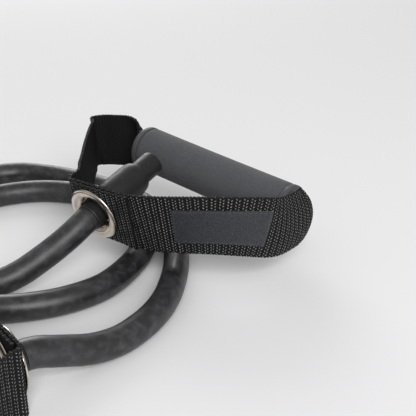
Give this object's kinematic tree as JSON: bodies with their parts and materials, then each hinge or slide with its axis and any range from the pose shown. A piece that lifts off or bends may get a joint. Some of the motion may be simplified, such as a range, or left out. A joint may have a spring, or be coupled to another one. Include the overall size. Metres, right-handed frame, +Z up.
{
  "type": "resistance band",
  "caption": "Rubber tube resistance band laid in two loose turns, with a webbing stirrup handle and foam grip on each end and a metal grommet at each joint.",
  "frame": {"origin": "on the floor, under the middle of the two handles' common box; the loose tube isn't counted", "axes": "+Z up; +Y is the long way of the two handles together; handle a is at +Y, lying on the turns of the tube, and handle b at -Y on the floor"},
  "size_m": [0.2438, 0.3239, 0.0542],
  "materials": {
    "charcoal_rubber": "matt moulded rubber with a dusty bloom",
    "grey_foam": "closed-cell foam, soft satin",
    "black_plastic": "matt moulded",
    "cap_rubber": "satin moulded rubber",
    "black_webbing": "heavy ribbed nylon weave with bright glints",
    "satin_label": "plain satin weave",
    "polished_nickel": "polished nickel plate"
  },
  "bodies": {
    "band": {"band_tube": "charcoal_rubber", "tube_end_a": "charcoal_rubber", "tube_end_b": "charcoal_rubber", "stopper_plug_a": "black_plastic", "stopper_plug_b": "black_plastic"},
    "handle_a": {"webbing_strap_a": "black_webbing", "woven_label_a": "satin_label", "grommet_a": "polished_nickel", "grommet_washer_a": "polished_nickel"},
    "grip_a": {"foam_grip_a": "grey_foam", "grip_core_a": "black_plastic", "end_cap_left_a": "cap_rubber", "end_cap_right_a": "cap_rubber"},
    "handle_b": {"webbing_strap_b": "black_webbing", "woven_label_b": "satin_label", "grommet_b": "polished_nickel", "grommet_washer_b": "polished_nickel"},
    "grip_b": {"foam_grip_b": "grey_foam", "grip_core_b": "black_plastic", "end_cap_left_b": "cap_rubber", "end_cap_right_b": "cap_rubber"}
  },
  "joints": [
    {"name": "handle_a_lift", "type": "hinge", "parent": "band", "child": "handle_a", "pos_m": [0.0108, 0.0542, 0.0315], "axis": [0.8039, -0.5948, 0], "range_deg": [0, 12]},
    {"name": "grip_a_spin", "type": "hinge", "parent": "handle_a", "child": "grip_a", "pos_m": [0.07053, 0.09735, 0.0331], "axis": [0.7575, -0.647, -0.0872], "continuous": true},
    {"name": "handle_b_lift", "type": "hinge", "parent": "band", "child": "handle_b", "pos_m": [-0.0127, -0.0563, 0.01597], "axis": [-0.6157, 0.788, 0], "range_deg": [0, 12]},
    {"name": "grip_b_spin", "type": "hinge", "parent": "handle_b", "child": "grip_b", "pos_m": [-0.08179, -0.08191, 0.01597], "axis": [-0.5592, 0.829, 0], "continuous": true}
  ]
}
